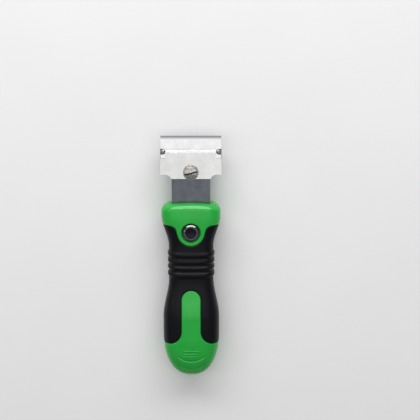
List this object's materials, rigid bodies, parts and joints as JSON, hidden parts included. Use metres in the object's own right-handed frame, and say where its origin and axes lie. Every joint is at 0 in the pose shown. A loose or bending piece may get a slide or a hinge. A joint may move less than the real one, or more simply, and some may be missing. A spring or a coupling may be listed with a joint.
{
  "type": "razor blade scraper",
  "caption": "Hand scraper with a single-edge razor blade clamped on a steel carrier that slides out of a two-tone handle and locks with a push button.",
  "frame": {"origin": "under the middle of the tool, on the surface that its back lies on, with the carrier drawn in", "axes": "+Z out of the front face with the button, +Y along the tool to the cutting edge, +X across"},
  "size_m": [0.039, 0.1596, 0.0234],
  "materials": {
    "shell_green": "hard green plastic, fine moulded sheen",
    "grip_black": "satin black soft overmould",
    "button_black": "polished black plastic",
    "carrier_steel": "grey plated steel strip",
    "blade_steel": "polished blade steel with a ground edge",
    "spine_steel": "folded plain steel strip",
    "plate_steel": "bright brushed steel",
    "screw_steel": "bright plated steel",
    "fastener_steel": "zinc-plated steel",
    "spring_steel": "plain spring steel"
  },
  "bodies": {
    "handle": {"front_shell": "shell_green", "back_shell": "shell_green", "front_grip": "grip_black", "back_grip": "grip_black", "shell_screws": "fastener_steel", "latch_spring": "spring_steel", "spring_screw": "fastener_steel"},
    "button": {"push_button": "button_black"},
    "carriage": {"carrier": "carrier_steel", "blade": "blade_steel", "blade_spine": "spine_steel", "clamp_nut": "fastener_steel"},
    "clamp": {"clamp_plate": "plate_steel", "clamp_washer": "screw_steel"},
    "screw": {"clamp_screw": "screw_steel"}
  },
  "joints": [
    {"name": "carrier_slide", "type": "slide", "parent": "handle", "child": "carriage", "axis": [0, 1, 0], "range_m": [0, 0.024]},
    {"name": "button_press", "type": "slide", "parent": "handle", "child": "button", "axis": [0, 0, -1], "range_m": [0, 0.0022], "stiffness_N_per_m": 1200, "springref_m": -0.001, "deforming": ["latch_spring"]},
    {"name": "plate_lift", "type": "slide", "parent": "carriage", "child": "clamp", "axis": [0, 0, 1], "range_m": [0, 0.0021]},
    {"name": "screw_turn", "type": "hinge", "parent": "clamp", "child": "screw", "pos_m": [0, 0.05635, 0.012], "axis": [0, 0, 1], "range_deg": [0, 1080]}
  ],
  "couplings": [
    {"joint": "screw_turn", "follows": "plate_lift", "rad_per_m": 8976}
  ]
}
